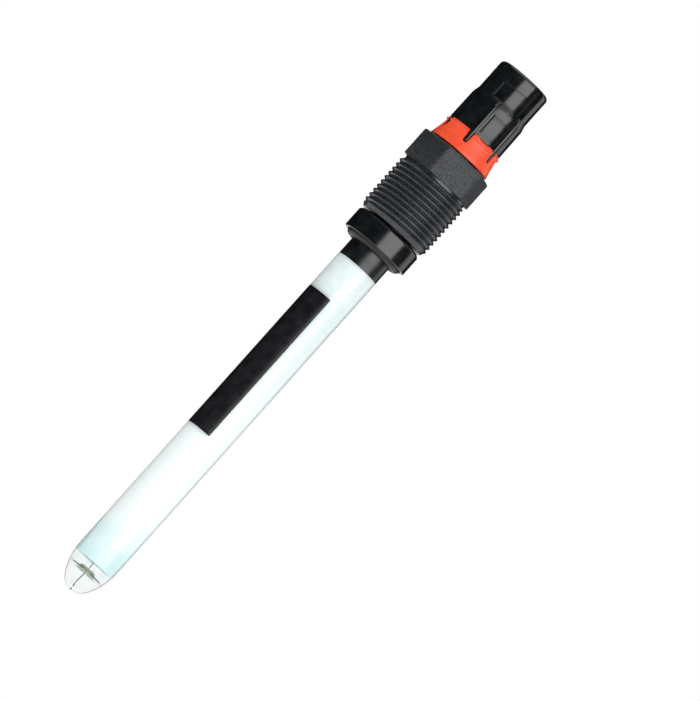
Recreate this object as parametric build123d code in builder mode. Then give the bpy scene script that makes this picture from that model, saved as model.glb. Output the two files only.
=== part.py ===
from build123d import *
import math
import os

os.makedirs("parts", exist_ok=True)

# Redox sensor with a glass shaft, a screw-in gland and a bayonet plug head, in millimetres.
# +Z runs along the axis to the plug head. The origin is on the axis in the seat plane, which is
# the underside of the thrust collar. Angles are seen from above, and -90 degrees is the front.

# Clearances, and how far a cut runs past the face that it opens
running_clearance = 0.08
bond_gap = 0.04
axial_play = 0.1
cut_margin = 1.0

# Glass shaft and its clear dome
tip_depth = 112.5
shaft_radius = 6.0
shaft_wall = 1.0
dome_height = 8.7
dome_base_radius = 5.85
dome_nose_radius = 4.1
dome_nose_turn = 54
dome_wall = 0.9

# Black printed field on the shaft
panel_depth = 17.0
panel_length = 45.0
panel_thickness = 0.06
panel_end_angle = -86.4
panel_wrap = 180

# Inner stem, its seal and its partition
stem_radius = 1.55
stem_wall = 0.45
stem_proud_of_stopper = 5.0
foot_depth = 3.2
foot_height = 1.3
foot_rim_radius = 3.0
foot_top_radius = 2.05
partition_wall = 0.25
partition_rise = 0.9

# Platinum wire and its lead
wire_radius = 0.15
wire_end_radius = 0.2
wire_end_length = 1.4
wire_length = 16.0
lead_radius = 0.25

# Reference half-cell
reference_offset = 3.0
reference_wire_radius = 0.3
chloride_radius = 0.6
chloride_length = 25.0
chloride_height = 20.0
junction_radius = 0.5
junction_height = 3.4
stopper_length = 3.3

# Neck of the plug, which carries the gland
sleeve_length = 6.1
neck_radius = 5.95
neck_wall = 1.35
spigot_length = 8.0
spigot_wall = 1.5
spigot_floor = 1.1
flange_radius = 7.2
flange_thickness = 1.2

# O-ring
o_ring_section = 2.62
o_ring_proud = 1.15
o_ring_seat_depth = 0.2

# Thrust collar
collar_radius = 9.5
collar_height = 6.3
collar_o_ring_room = 0.15
collar_top_height = 1.5
collar_top_width = 2.2
collar_top_bulge = 0.42
collar_rim_chamfer = 0.3

# Screw-in gland, thread PG 13.5
gland_lift = 0.2
thread_radius = 10.2
thread_pitch = 25.4 / 18
thread_depth = 0.67
thread_crest = 0.2
thread_root = 0.08
thread_length = 15.6
thread_lead_in = 1.4
thread_run_out = 0.02
groove_room = 0.05
thread_phase = 239
relief_height = 0.8
relief_depth = 0.1
hex_across_flats = 19.0
hex_height = 8.0
hex_corner_radius = 1.3
hex_turn = 14.1
hex_edge_chamfer = 0.3

# Orange coding ring
ring_gap = 0.5
ring_height = 6.0
ring_base_radius = 9.0
ring_middle_radius = 8.47
ring_middle_height = 2.2
ring_waist_radius = 8.0
ring_waist_height = 4.8
ring_bead_radius = 8.35
ring_bead_low = 5.05
ring_bead_high = 5.4
ring_top_radius = 7.95
ring_top_height = 5.7
ring_web = 0.8
ring_notch_width = 3.6
ring_notch_depth = 0.5
slot_depth = 3.4
slot_width = 1.9
slot_end_width = 1.3

# Plug head
skirt_radius = 7.2
body_radius = 8.0
body_top_radius = 7.9
body_height = 8.4
shoulder_height = 1.8
head_radius = 7.475
head_height = 8.9
head_edge_radius = 1.1
rib_count = 6
first_rib_angle = -98.9
rib_radius = 0.75
rib_proud = 0.25
prong_end_radius = 0.6
prong_tip_radius = 0.4
pad_angle = -92.0
pad_span = 43.5
pad_low = 0.8
pad_height = 6.1
pad_frame = 0.3
pad_frame_depth = 0.18
pad_surface_depth = 0.06
gate_angle = -100.6
gate_drop = 1.4
gate_radius = 0.22

# Bayonet tracks of the plug head
track_count = 2
track_floor_radius = 6.25
track_start_angle = -121.8
track_lock_span = 58.5
track_entry_span = 24.3
track_height = 4.65
track_ramp = 0.095
track_overlap = 1.0

# Socket and what surrounds it
socket_radius = 3.75
socket_depth = 14.7
socket_wall = 0.6
socket_floor = 1.0
socket_chamfer = 0.4
chamber_radius = 5.45
chamber_roof = 2.3
neck_engagement = 5.7

# Coupling coil and its ferrite
former_wall = 0.3
former_flange = 0.5
winding_length = 5.2
winding_depth = 0.5
ferrite_thickness = 1.5

# Circuit board
board_width = 8.8
board_thickness = 1.0
board_low = 10.0
board_headroom = 0.3
processor_size = 5.0
processor_height = 1.0
processor_drop = 8.0
amplifier_width = 3.9
amplifier_length = 4.9
amplifier_height = 1.4
amplifier_drop = 17.5
capacitor_length = 1.6
capacitor_width = 0.8
capacitor_pitch = 2.0
capacitor_count = 4
capacitor_drop = 3.5

# Heights that follow from the sizes above
tip_z = -tip_depth
shaft_end_z = tip_z + dome_height
glass_top_z = -sleeve_length
spigot_end_z = glass_top_z - spigot_length
stopper_low_z = spigot_end_z - bond_gap - stopper_length
potting_low_z = glass_top_z + spigot_floor
foot_z = shaft_end_z - foot_depth
o_ring_top_z = o_ring_section - o_ring_proud
flange_low_z = o_ring_top_z + bond_gap
flange_top_z = flange_low_z + flange_thickness
gland_low_z = collar_height + gland_lift
thread_top_z = gland_low_z + thread_length
hex_low_z = thread_top_z + relief_height
hex_top_z = hex_low_z + hex_height
ring_low_z = hex_top_z + ring_gap
ring_top_z = ring_low_z + ring_height
skirt_low_z = ring_low_z + ring_web + bond_gap
body_low_z = ring_top_z + bond_gap
body_top_z = body_low_z + body_height
head_low_z = body_top_z + shoulder_height
head_top_z = head_low_z + head_height
neck_top_z = skirt_low_z + neck_engagement
socket_floor_z = head_top_z - socket_depth
chamber_top_z = head_top_z - chamber_roof
former_top_z = chamber_top_z - bond_gap
ferrite_top_z = socket_floor_z - socket_floor - bond_gap
ferrite_low_z = ferrite_top_z - ferrite_thickness
board_top_z = ferrite_low_z - board_headroom
prong_end_z = ring_top_z - slot_depth + slot_end_width / 2
winding_low_z = former_top_z - former_flange - winding_length

# Radii that follow from the sizes above
shaft_bore = shaft_radius - shaft_wall
fill_radius = shaft_bore - bond_gap
neck_bore = neck_radius - neck_wall
spigot_radius = shaft_bore - bond_gap
spigot_bore = spigot_radius - spigot_wall
o_ring_seat_radius = neck_radius - o_ring_seat_depth
o_ring_radius = o_ring_seat_radius + bond_gap + o_ring_section
gland_bore = neck_radius + running_clearance
ring_bore = skirt_radius + bond_gap
thread_core = thread_radius - thread_depth
socket_outer = socket_radius + socket_wall
former_bore = socket_outer + bond_gap
winding_bore = former_bore + former_wall
flange_reach = chamber_radius - bond_gap
rib_circle = body_radius + rib_proud - rib_radius
notch_radius = ring_notch_width**2 / 8 / ring_notch_depth + ring_notch_depth / 2

# Widths and angles that follow from the sizes above
flank_widening = (thread_pitch - thread_crest - thread_root) / 2 / thread_depth
groove_width = thread_pitch - thread_crest + 2 * groove_room * flank_widening
frame_turn = math.degrees(pad_frame / body_radius)
rib_spacing = 360 / rib_count


def radial_plane(angle):
    """The half plane at this angle about the axis: x runs outwards and y runs up."""
    outwards = Vector(1, 0, 0).rotate(Axis.Z, angle)
    return Plane(origin=(0, 0, 0), x_dir=outwards, z_dir=outwards.cross(Vector(0, 0, 1)))


def facing_plane(angle, radius):
    """The plane that touches a cylinder of this radius at this angle: y runs up."""
    outwards = Vector(1, 0, 0).rotate(Axis.Z, angle)
    return Plane(origin=outwards * radius, x_dir=Vector(0, 0, 1).cross(outwards), z_dir=outwards)


# Clear glass dome, with the hole that the platinum wire is sealed into
with BuildPart() as tip_dome:
    with BuildSketch(radial_plane(0)):
        with BuildLine():
            outer_nose = JernArc((0, tip_z), (1, 0), dome_nose_radius, dome_nose_turn)
            outer_side = TangentArc(outer_nose @ 1, (dome_base_radius, shaft_end_z), tangent=outer_nose % 1)
            inner_nose = JernArc(
                (0, tip_z + dome_wall), (1, 0), dome_nose_radius - dome_wall, dome_nose_turn
            )
            inner_side = TangentArc(
                inner_nose @ 1, (dome_base_radius - dome_wall, shaft_end_z), tangent=inner_nose % 1
            )
            Line(outer_side @ 1, inner_side @ 1)
            Line(inner_nose @ 0, outer_nose @ 0)
        make_face()
    revolve(axis=Axis.Z)
    with BuildSketch(Plane.XY.offset(tip_z)):
        Circle(wire_end_radius)
    extrude(amount=wire_end_length, mode=Mode.SUBTRACT)
tip_dome.part.label = "tip_dome"
export_step(tip_dome.part, "parts/tip_dome.step")

# Glass shaft, with the hole of the liquid junction at the back
with BuildPart() as shaft_tube:
    with BuildSketch(Plane.XY.offset(shaft_end_z)):
        Circle(shaft_radius)
        Circle(shaft_bore, mode=Mode.SUBTRACT)
    extrude(amount=glass_top_z - shaft_end_z)
    with BuildSketch(facing_plane(90, 0)):
        with Locations((0, shaft_end_z + junction_height)):
            Circle(junction_radius)
    extrude(amount=shaft_radius + cut_margin, mode=Mode.SUBTRACT)
shaft_tube.part.label = "shaft_tube"
export_step(shaft_tube.part, "parts/shaft_tube.step")

# Ceramic pin of the liquid junction, ground flush with the glass
with BuildPart() as ceramic_junction:
    with BuildSketch(facing_plane(90, 0)):
        with Locations((0, shaft_end_z + junction_height)):
            Circle(junction_radius)
    extrude(amount=shaft_radius + cut_margin)
    with BuildSketch(Plane.XY.offset(shaft_end_z)):
        Circle(shaft_radius)
        Circle(shaft_bore, mode=Mode.SUBTRACT)
    extrude(amount=glass_top_z - shaft_end_z, mode=Mode.INTERSECT)
ceramic_junction.part.label = "ceramic_junction"
export_step(ceramic_junction.part, "parts/ceramic_junction.step")

# Black printed field that wraps half of the shaft
with BuildPart() as print_panel:
    with BuildSketch(radial_plane(panel_end_angle - panel_wrap)):
        with Locations((shaft_radius, -panel_depth)):
            Rectangle(panel_thickness, panel_length, align=(Align.MIN, Align.MAX))
    revolve(axis=Axis.Z, revolution_arc=panel_wrap)
print_panel.part.label = "print_panel"
export_step(print_panel.part, "parts/print_panel.step")

# Inner stem, flared into the thin partition that meets the dome's inner wall
with BuildPart() as inner_stem:
    with BuildSketch(radial_plane(0)):
        with BuildLine():
            Polyline(
                (stem_radius - stem_wall, foot_z - partition_wall),
                (foot_rim_radius, foot_z - partition_wall),
                (dome_base_radius - dome_wall / 2, foot_z - partition_wall + partition_rise),
                (dome_base_radius - dome_wall / 2, foot_z + partition_rise),
                (foot_rim_radius, foot_z),
                (stem_radius, foot_z),
                (stem_radius, stopper_low_z + stopper_length + stem_proud_of_stopper),
                (stem_radius - stem_wall, stopper_low_z + stopper_length + stem_proud_of_stopper),
                close=True,
            )
        make_face()
    revolve(axis=Axis.Z)
    add(tip_dome.part, mode=Mode.SUBTRACT)
inner_stem.part.label = "inner_stem"
export_step(inner_stem.part, "parts/inner_stem.step")

# Flared seal round the foot of the stem
with BuildPart() as seal_foot:
    with BuildSketch(radial_plane(0)):
        with BuildLine():
            Polyline(
                (stem_radius + bond_gap, foot_z + bond_gap),
                (foot_rim_radius, foot_z + bond_gap),
                (foot_top_radius, foot_z + foot_height),
                (stem_radius + bond_gap, foot_z + foot_height),
                close=True,
            )
        make_face()
    revolve(axis=Axis.Z)
seal_foot.part.label = "seal_foot"
export_step(seal_foot.part, "parts/seal_foot.step")

# Platinum wire, thicker where it is sealed into the tip
with BuildPart() as platinum_wire:
    with BuildSketch(Plane.XY.offset(tip_z)):
        Circle(wire_end_radius)
    extrude(amount=wire_end_length)
    with BuildSketch(Plane.XY.offset(tip_z)):
        Circle(wire_radius)
    extrude(amount=wire_length)
platinum_wire.part.label = "platinum_wire"
export_step(platinum_wire.part, "parts/platinum_wire.step")

# Silver lead from the platinum wire up to the board
with BuildPart() as platinum_lead:
    with BuildSketch(Plane.XY.offset(tip_z + wire_length)):
        Circle(lead_radius)
    extrude(amount=board_low - tip_z - wire_length)
platinum_lead.part.label = "platinum_lead"
export_step(platinum_lead.part, "parts/platinum_lead.step")

# Reference wire, with its thicker chlorided length in the gel
with BuildPart() as reference_wire:
    with BuildSketch(Plane.XY.offset(shaft_end_z + chloride_height)):
        with Locations((reference_offset, 0)):
            Circle(chloride_radius)
    extrude(amount=chloride_length)
    with BuildSketch(Plane.XY.offset(shaft_end_z + chloride_height)):
        with Locations((reference_offset, 0)):
            Circle(reference_wire_radius)
    extrude(amount=board_low - shaft_end_z - chloride_height)
reference_wire.part.label = "reference_wire"
export_step(reference_wire.part, "parts/reference_wire.step")

# White electrolyte gel, cast round the stem and the reference wire
with BuildPart() as reference_gel:
    with BuildSketch(Plane.XY.offset(shaft_end_z)):
        Circle(fill_radius)
        Circle(stem_radius + bond_gap, mode=Mode.SUBTRACT)
    extrude(amount=stopper_low_z - bond_gap - shaft_end_z)
    with BuildSketch(Plane.XY.offset(shaft_end_z + chloride_height - bond_gap)):
        with Locations((reference_offset, 0)):
            Circle(chloride_radius + bond_gap)
    extrude(amount=chloride_length + 2 * bond_gap, mode=Mode.SUBTRACT)
    with BuildSketch(Plane.XY.offset(shaft_end_z + chloride_height)):
        with Locations((reference_offset, 0)):
            Circle(reference_wire_radius + bond_gap)
    extrude(amount=stopper_low_z - shaft_end_z - chloride_height, mode=Mode.SUBTRACT)
reference_gel.part.label = "reference_gel"
export_step(reference_gel.part, "parts/reference_gel.step")

# Silicone stopper over the gel
with BuildPart() as tube_stopper:
    with BuildSketch(Plane.XY.offset(stopper_low_z)):
        Circle(fill_radius)
        Circle(stem_radius + bond_gap, mode=Mode.SUBTRACT)
        with Locations((reference_offset, 0)):
            Circle(reference_wire_radius + bond_gap, mode=Mode.SUBTRACT)
    extrude(amount=stopper_length)
tube_stopper.part.label = "tube_stopper"
export_step(tube_stopper.part, "parts/tube_stopper.step")

# Neck: a spigot in the glass, the O-ring's seat, the flange and the long bearing for the gland
with BuildPart() as neck_sleeve:
    with BuildSketch(radial_plane(0)):
        with BuildLine():
            Polyline(
                (spigot_bore, spigot_end_z),
                (spigot_radius, spigot_end_z),
                (spigot_radius, glass_top_z),
                (neck_radius, glass_top_z),
                (neck_radius, -o_ring_proud),
                (o_ring_seat_radius, -o_ring_proud),
                (o_ring_seat_radius, flange_low_z),
                (flange_radius, flange_low_z),
                (flange_radius, flange_top_z),
                (neck_radius, flange_top_z),
                (neck_radius, neck_top_z),
                (neck_bore, neck_top_z),
                (neck_bore, potting_low_z),
                (spigot_bore, potting_low_z),
                close=True,
            )
        make_face()
    revolve(axis=Axis.Z)
neck_sleeve.part.label = "neck_sleeve"
export_step(neck_sleeve.part, "parts/neck_sleeve.step")

# Resin round the leads at the bottom of the neck
with BuildPart() as neck_potting:
    with BuildSketch(Plane.XY.offset(potting_low_z + bond_gap)):
        Circle(neck_bore - bond_gap)
        Circle(lead_radius + bond_gap, mode=Mode.SUBTRACT)
        with Locations((reference_offset, 0)):
            Circle(reference_wire_radius + bond_gap, mode=Mode.SUBTRACT)
    extrude(amount=board_low - potting_low_z - bond_gap)
neck_potting.part.label = "neck_potting"
export_step(neck_potting.part, "parts/neck_potting.step")

# O-ring that seals the process fitting
with BuildPart() as o_ring:
    with BuildSketch(radial_plane(0)):
        with Locations((o_ring_radius - o_ring_section / 2, o_ring_section / 2 - o_ring_proud)):
            Circle(o_ring_section / 2)
    revolve(axis=Axis.Z)
o_ring.part.label = "o_ring"
export_step(o_ring.part, "parts/o_ring.step")

# Thrust collar, stepped inside for the O-ring and for the neck's flange
with BuildPart() as thrust_collar:
    with BuildSketch(radial_plane(0)):
        with BuildLine():
            Polyline(
                (o_ring_radius + collar_o_ring_room, 0),
                (collar_radius, 0),
                (collar_radius, collar_height - collar_top_height),
            )
            SagittaArc(
                (collar_radius, collar_height - collar_top_height),
                (collar_radius - collar_top_width, collar_height),
                collar_top_bulge,
            )
            Polyline(
                (collar_radius - collar_top_width, collar_height),
                (gland_bore, collar_height),
                (gland_bore, flange_top_z + axial_play),
                (flange_radius + running_clearance, flange_top_z + axial_play),
                (flange_radius + running_clearance, o_ring_top_z + axial_play),
                (o_ring_radius + collar_o_ring_room, o_ring_top_z + axial_play),
                (o_ring_radius + collar_o_ring_room, 0),
            )
        make_face()
    revolve(axis=Axis.Z)
    bottom_rim = thrust_collar.faces().sort_by(Axis.Z)[0].edges().sort_by(SortBy.LENGTH)[-1]
    chamfer(bottom_rim, length=collar_rim_chamfer)
thrust_collar.part.label = "thrust_collar"
export_step(thrust_collar.part, "parts/thrust_collar.step")

# Cutter for one turn of the gland's thread: a flat-bottomed groove that climbs one pitch
with BuildPart() as groove_turn:
    with BuildLine() as turn_path:
        Helix(thread_pitch, thread_pitch, thread_core)
    with BuildSketch(Plane(origin=turn_path.line @ 0, x_dir=(1, 0, 0), z_dir=turn_path.line % 0)):
        with BuildLine():
            Polyline(
                (0, -thread_root / 2),
                (thread_depth + groove_room, -groove_width / 2),
                (thread_depth + groove_room, groove_width / 2),
                (0, thread_root / 2),
                close=True,
            )
        make_face()
    sweep(path=turn_path.line, is_frenet=True)

# Gland: a threaded barrel under a hexagon, in one moulding
with BuildPart() as screw_gland:
    with BuildSketch(radial_plane(0)):
        with BuildLine():
            Polyline(
                (gland_bore, gland_low_z),
                (thread_radius - thread_lead_in, gland_low_z),
                (thread_radius, gland_low_z + thread_lead_in),
                (thread_radius, thread_top_z - thread_depth),
                (thread_core - relief_depth, thread_top_z),
                (thread_core - relief_depth, hex_low_z),
                (gland_bore, hex_low_z),
                close=True,
            )
        make_face()
    revolve(axis=Axis.Z)
    groove_end_z = hex_low_z - groove_width / 2 - thread_run_out
    groove_turns = int((groove_end_z - gland_low_z) / thread_pitch) + 2
    for turn in range(1, groove_turns):
        groove_place = Location((0, 0, groove_end_z - turn * thread_pitch), (0, 0, thread_phase))
        add(groove_turn.part.moved(groove_place), mode=Mode.SUBTRACT)
    with BuildSketch(Plane.XY.offset(hex_low_z)) as hexagon:
        RegularPolygon(hex_across_flats / 2, 6, major_radius=False, rotation=hex_turn)
        fillet(hexagon.vertices(), radius=hex_corner_radius)
        Circle(gland_bore, mode=Mode.SUBTRACT)
    extrude(amount=hex_height)
    hex_top = screw_gland.faces().sort_by(Axis.Z)[-1]
    chamfer(hex_top.outer_wire().edges(), length=hex_edge_chamfer)
screw_gland.part.label = "screw_gland"
export_step(screw_gland.part, "parts/screw_gland.step")

# Orange ring: a flared band with a bead, a bottom web and six slots for the plug's prongs
with BuildPart() as coding_ring:
    with BuildSketch(radial_plane(0)):
        with BuildLine():
            Polyline(
                (gland_bore, ring_low_z),
                (ring_base_radius, ring_low_z),
                (ring_middle_radius, ring_low_z + ring_middle_height),
                (ring_waist_radius, ring_low_z + ring_waist_height),
                (ring_bead_radius, ring_low_z + ring_bead_low),
                (ring_bead_radius, ring_low_z + ring_bead_high),
                (ring_top_radius, ring_low_z + ring_top_height),
                (ring_top_radius, ring_top_z),
                (ring_bore, ring_top_z),
                (ring_bore, ring_low_z + ring_web),
                (gland_bore, ring_low_z + ring_web),
                close=True,
            )
        make_face()
    revolve(axis=Axis.Z)
    for turn in range(rib_count):
        with BuildSketch(facing_plane(first_rib_angle + rib_spacing * turn, ring_bore - 2 * bond_gap)):
            with BuildLine():
                Polyline(
                    (slot_width / 2, ring_top_z + cut_margin),
                    (slot_end_width / 2, ring_top_z - slot_depth + slot_end_width / 2),
                )
                ThreePointArc(
                    (slot_end_width / 2, ring_top_z - slot_depth + slot_end_width / 2),
                    (0, ring_top_z - slot_depth),
                    (-slot_end_width / 2, ring_top_z - slot_depth + slot_end_width / 2),
                )
                Polyline(
                    (-slot_end_width / 2, ring_top_z - slot_depth + slot_end_width / 2),
                    (-slot_width / 2, ring_top_z + cut_margin),
                    (slot_width / 2, ring_top_z + cut_margin),
                )
            make_face()
        extrude(amount=ring_base_radius - ring_bore + cut_margin, mode=Mode.SUBTRACT)
    with BuildSketch(facing_plane(first_rib_angle + rib_spacing / 2, ring_bore + bond_gap)):
        with Locations((0, ring_top_z - ring_notch_depth + notch_radius)):
            Circle(notch_radius)
    extrude(amount=ring_base_radius - ring_bore, mode=Mode.SUBTRACT)
coding_ring.part.label = "coding_ring"
export_step(coding_ring.part, "parts/coding_ring.step")

# Cutter for the lock of a bayonet track, whose upper edge slants
with BuildPart() as track_lock:
    with BuildSketch(radial_plane(track_start_angle)):
        with Locations((track_floor_radius, head_low_z)):
            Rectangle(head_radius, head_height, align=(Align.MIN, Align.MIN))
    revolve(axis=Axis.Z, revolution_arc=track_lock_span + track_overlap)
    lock_edge = Plane(origin=(0, 0, head_low_z + track_height), z_dir=(-track_ramp, 0, 1))
    split(bisect_by=lock_edge, keep=Keep.BOTTOM)

# Plug head: one moulding with an outer wall, a socket and a chamber for the coil between them
with BuildPart() as plug_housing:
    with BuildSketch(radial_plane(0)):
        with BuildLine():
            Polyline(
                (0, skirt_low_z),
                (skirt_radius, skirt_low_z),
                (skirt_radius, body_low_z),
                (body_radius, body_low_z),
                (body_top_radius, body_top_z),
                (head_radius, head_low_z),
                (head_radius, head_top_z),
                (0, head_top_z),
                close=True,
            )
        make_face()
    revolve(axis=Axis.Z)
    head_rim = plug_housing.edges().filter_by(GeomType.CIRCLE).group_by(Axis.Z)[-1]
    fillet(head_rim, radius=head_edge_radius)

    # Key pad between two ribs: a sunk frame line round a nearly flush field
    with BuildSketch(radial_plane(pad_angle)):
        with Locations((body_top_radius - pad_frame_depth, body_low_z + pad_low)):
            Rectangle(cut_margin, pad_height, align=(Align.MIN, Align.MIN))
    revolve(axis=Axis.Z, revolution_arc=pad_span, mode=Mode.SUBTRACT)
    with BuildSketch(radial_plane(pad_angle + frame_turn)):
        with Locations((socket_radius, body_low_z + pad_low + pad_frame)):
            Rectangle(
                body_top_radius - pad_surface_depth - socket_radius,
                pad_height - 2 * pad_frame,
                align=(Align.MIN, Align.MIN),
            )
    revolve(axis=Axis.Z, revolution_arc=pad_span - 2 * frame_turn)

    # Six round ribs, which go on below the body as tapered prongs with blunt ends
    with BuildSketch(radial_plane(0)):
        with BuildLine():
            Polyline(
                (0, body_top_z),
                (rib_radius, body_top_z),
                (rib_radius, body_low_z),
                (prong_end_radius, prong_end_z),
                (prong_tip_radius, prong_end_z - prong_tip_radius),
                (0, prong_end_z - prong_tip_radius),
                close=True,
            )
        make_face()
    rib_form = revolve(axis=Axis.Z, mode=Mode.PRIVATE)
    with PolarLocations(rib_circle, rib_count, start_angle=first_rib_angle):
        add(rib_form)

    # Two bayonet tracks: an entry channel open at the top and a lock under a slanted edge
    for turn in range(track_count):
        entry_angle = track_start_angle + track_lock_span + 360 / track_count * turn
        with BuildSketch(radial_plane(entry_angle)):
            with Locations((track_floor_radius, head_low_z)):
                Rectangle(head_radius, head_height + cut_margin, align=(Align.MIN, Align.MIN))
        revolve(axis=Axis.Z, revolution_arc=track_entry_span, mode=Mode.SUBTRACT)
    with PolarLocations(0, track_count):
        add(track_lock.part, mode=Mode.SUBTRACT)

    # Seat for the neck, chamber for the coil and the socket for the coupling's nose
    with BuildSketch(Plane.XY.offset(skirt_low_z)):
        Circle(neck_radius + bond_gap)
    extrude(amount=neck_engagement + bond_gap, mode=Mode.SUBTRACT)
    with BuildSketch(Plane.XY.offset(skirt_low_z)):
        Circle(chamber_radius)
    extrude(amount=chamber_top_z - skirt_low_z, mode=Mode.SUBTRACT)
    with BuildSketch(Plane.XY.offset(socket_floor_z - socket_floor)):
        Circle(socket_outer)
    extrude(amount=chamber_top_z - socket_floor_z + socket_floor)
    with BuildSketch(Plane.XY.offset(socket_floor_z)):
        Circle(socket_radius)
    extrude(amount=socket_depth, mode=Mode.SUBTRACT)
    mouth = plug_housing.faces().sort_by(Axis.Z)[-1].inner_wires().edges()
    chamfer(mouth, length=socket_chamfer)

    # Gate mark near the top edge
    with BuildSketch(radial_plane(0)):
        with BuildLine():
            Polyline((0, 0), (gate_radius, 0), (0, -gate_radius), close=True)
        make_face()
    gate_form = revolve(axis=Axis.Z, mode=Mode.PRIVATE)
    gate_plane = facing_plane(gate_angle, head_radius)
    with Locations(gate_plane.offset(bond_gap) * Location((0, head_top_z - gate_drop, 0))):
        add(gate_form, mode=Mode.SUBTRACT)
plug_housing.part.label = "plug_housing"
export_step(plug_housing.part, "parts/plug_housing.step")

# Coil former: two flanges and a skirt that hangs round the ferrite
with BuildPart() as coil_former:
    with BuildSketch(radial_plane(0)):
        with BuildLine():
            Polyline(
                (former_bore, ferrite_low_z),
                (winding_bore, ferrite_low_z),
                (winding_bore, winding_low_z - former_flange),
                (flange_reach, winding_low_z - former_flange),
                (flange_reach, winding_low_z),
                (winding_bore, winding_low_z),
                (winding_bore, former_top_z - former_flange),
                (flange_reach, former_top_z - former_flange),
                (flange_reach, former_top_z),
                (former_bore, former_top_z),
                close=True,
            )
        make_face()
    revolve(axis=Axis.Z)
coil_former.part.label = "coil_former"
export_step(coil_former.part, "parts/coil_former.step")

# Copper winding between the flanges
with BuildPart() as induction_coil:
    with BuildSketch(Plane.XY.offset(winding_low_z + bond_gap)):
        Circle(winding_bore + bond_gap + winding_depth)
        Circle(winding_bore + bond_gap, mode=Mode.SUBTRACT)
    extrude(amount=winding_length - 2 * bond_gap)
induction_coil.part.label = "induction_coil"
export_step(induction_coil.part, "parts/induction_coil.step")

# Ferrite disc under the socket's floor
with BuildPart() as ferrite_disc:
    with BuildSketch(Plane.XY.offset(ferrite_low_z)):
        Circle(former_bore - bond_gap)
    extrude(amount=ferrite_thickness)
ferrite_disc.part.label = "ferrite_disc"
export_step(ferrite_disc.part, "parts/ferrite_disc.step")

# Circuit board, standing on the resin with its edges close to the neck's bore
with BuildPart() as circuit_board:
    with BuildSketch(Plane.XY.offset(board_low)):
        Rectangle(board_width, board_thickness)
    extrude(amount=board_top_z - board_low)
circuit_board.part.label = "circuit_board"
export_step(circuit_board.part, "parts/circuit_board.step")

# Processor chip on the front of the board
with BuildPart() as processor_chip:
    with BuildSketch(Plane.XZ.offset(board_thickness / 2)):
        with Locations((0, board_top_z - processor_drop)):
            Rectangle(processor_size, processor_size)
    extrude(amount=processor_height)
processor_chip.part.label = "processor_chip"
export_step(processor_chip.part, "parts/processor_chip.step")

# Amplifier chip on the front of the board
with BuildPart() as amplifier_chip:
    with BuildSketch(Plane.XZ.offset(board_thickness / 2)):
        with Locations((0, board_top_z - amplifier_drop)):
            Rectangle(amplifier_width, amplifier_length)
    extrude(amount=amplifier_height)
amplifier_chip.part.label = "amplifier_chip"
export_step(amplifier_chip.part, "parts/amplifier_chip.step")

# Row of capacitors at the top of the board
with BuildPart() as board_capacitors:
    with BuildSketch(Plane.XZ.offset(board_thickness / 2)):
        with Locations((0, board_top_z - capacitor_drop)):
            with GridLocations(capacitor_pitch, 1, capacitor_count, 1):
                Rectangle(capacitor_width, capacitor_length)
    extrude(amount=capacitor_width)
board_capacitors.part.label = "board_capacitors"
export_step(board_capacitors.part, "parts/board_capacitors.step")
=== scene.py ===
# %% [markdown]
# # Dressing a redox sensor
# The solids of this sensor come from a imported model: a clear glass tip and shaft, a black neck with
# its seal and thrust collar, a threaded gland, an orange ring and a plug head. This lesson gives
# every piece its finish, and remakes the glass, its filling and the mouldings that catch the light,
# so that their edges are rounded as a mould leaves them. Heights and widths start from the frame.

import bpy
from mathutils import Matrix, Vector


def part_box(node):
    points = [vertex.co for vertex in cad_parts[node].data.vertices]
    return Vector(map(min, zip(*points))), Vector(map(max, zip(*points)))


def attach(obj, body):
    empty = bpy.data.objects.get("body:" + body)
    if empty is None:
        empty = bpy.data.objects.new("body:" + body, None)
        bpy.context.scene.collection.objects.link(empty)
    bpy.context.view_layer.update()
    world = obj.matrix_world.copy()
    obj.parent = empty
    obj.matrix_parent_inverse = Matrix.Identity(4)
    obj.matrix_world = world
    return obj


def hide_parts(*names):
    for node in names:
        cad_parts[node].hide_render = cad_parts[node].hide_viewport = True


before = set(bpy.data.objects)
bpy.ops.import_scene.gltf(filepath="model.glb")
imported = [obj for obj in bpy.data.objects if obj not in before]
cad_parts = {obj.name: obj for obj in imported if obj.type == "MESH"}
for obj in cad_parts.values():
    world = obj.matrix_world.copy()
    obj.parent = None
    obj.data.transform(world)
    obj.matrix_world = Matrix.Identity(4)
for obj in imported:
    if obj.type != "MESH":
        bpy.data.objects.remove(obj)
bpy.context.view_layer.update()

# %% [markdown]
# ## Units and colours
# The frame is in metres, but a maker thinks of this object in millimetres, so sizes are written in
# millimetres and turned to metres where a mesh is made. Colours are written as sRGB hex values, as
# a colour picker shows them, and one function turns them into the linear values that a shader needs.

# %% Units and colours
import math

import bmesh
import bpy
from mathutils import Matrix, Vector

MM = 0.001


def linear(hex_colour):
    """The linear colour, with an alpha of 1, of an sRGB hex value."""
    channels = [int(hex_colour[k:k + 2], 16) / 255 for k in (1, 3, 5)]
    return [c / 12.92 if c <= 0.04045 else ((c + 0.055) / 1.055) ** 2.4 for c in channels] + [1.0]


def low(node):
    """The lowest height of a node, in millimetres."""
    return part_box(node)[0].z / MM


def high(node):
    """The greatest height of a node, in millimetres."""
    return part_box(node)[1].z / MM


def reach(node):
    """How far a node reaches from the axis, in millimetres."""
    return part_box(node)[1].x / MM


print("tip at", round(low("tip_dome"), 2), "mm, head at", round(high("plug_housing"), 2), "mm")

# %% [markdown]
# ## One helper for nodes
# A material or a geometry tree is a graph, and writing one is mostly the same three steps: add a
# node, set its values and link what feeds it. One small function does all three, so each material
# below reads as a list of what it is made of.

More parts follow.
